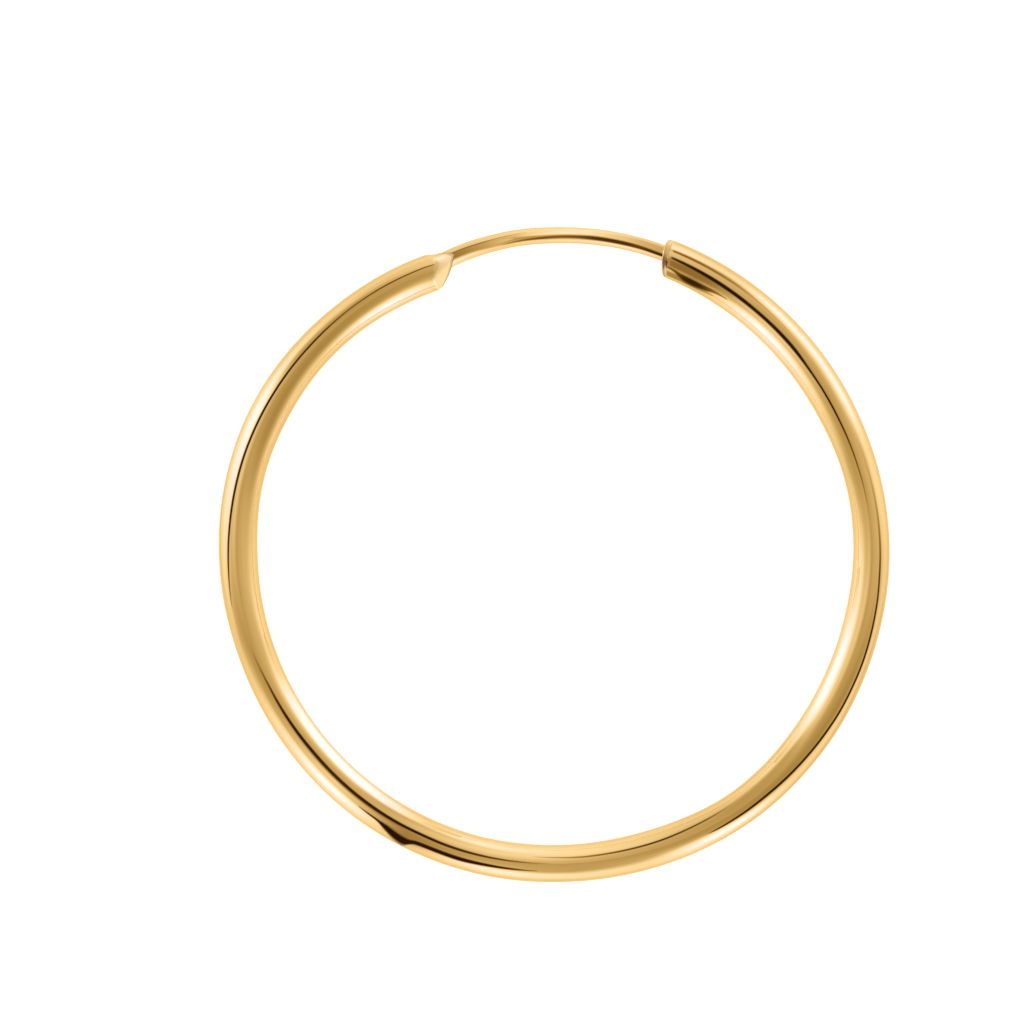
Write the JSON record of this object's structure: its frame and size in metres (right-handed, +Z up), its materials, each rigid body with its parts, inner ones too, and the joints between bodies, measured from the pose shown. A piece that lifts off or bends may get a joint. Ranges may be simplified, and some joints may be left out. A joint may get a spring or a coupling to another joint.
{
  "type": "endless hoop earring",
  "caption": "Round hollow tube bent into a ring, with an open mouth, and a thin ear wire pinched into its other end that crosses a gap and slips into the mouth.",
  "frame": {"origin": "on the floor, under the middle of the ring, which lies on its side", "axes": "+Z up, square to the ring's plane; +Y from the ring's middle towards the gap for the ear; +X towards the side of the ring with the open mouth"},
  "size_m": [0.0352, 0.0344, 0.002],
  "materials": {
    "polished_gold_tube": "polished yellow gold",
    "polished_gold_wire": "polished yellow gold"
  },
  "bodies": {
    "root": {"hoop_tube": "polished_gold_tube", "ear_wire": "polished_gold_wire"}
  },
  "joints": []
}
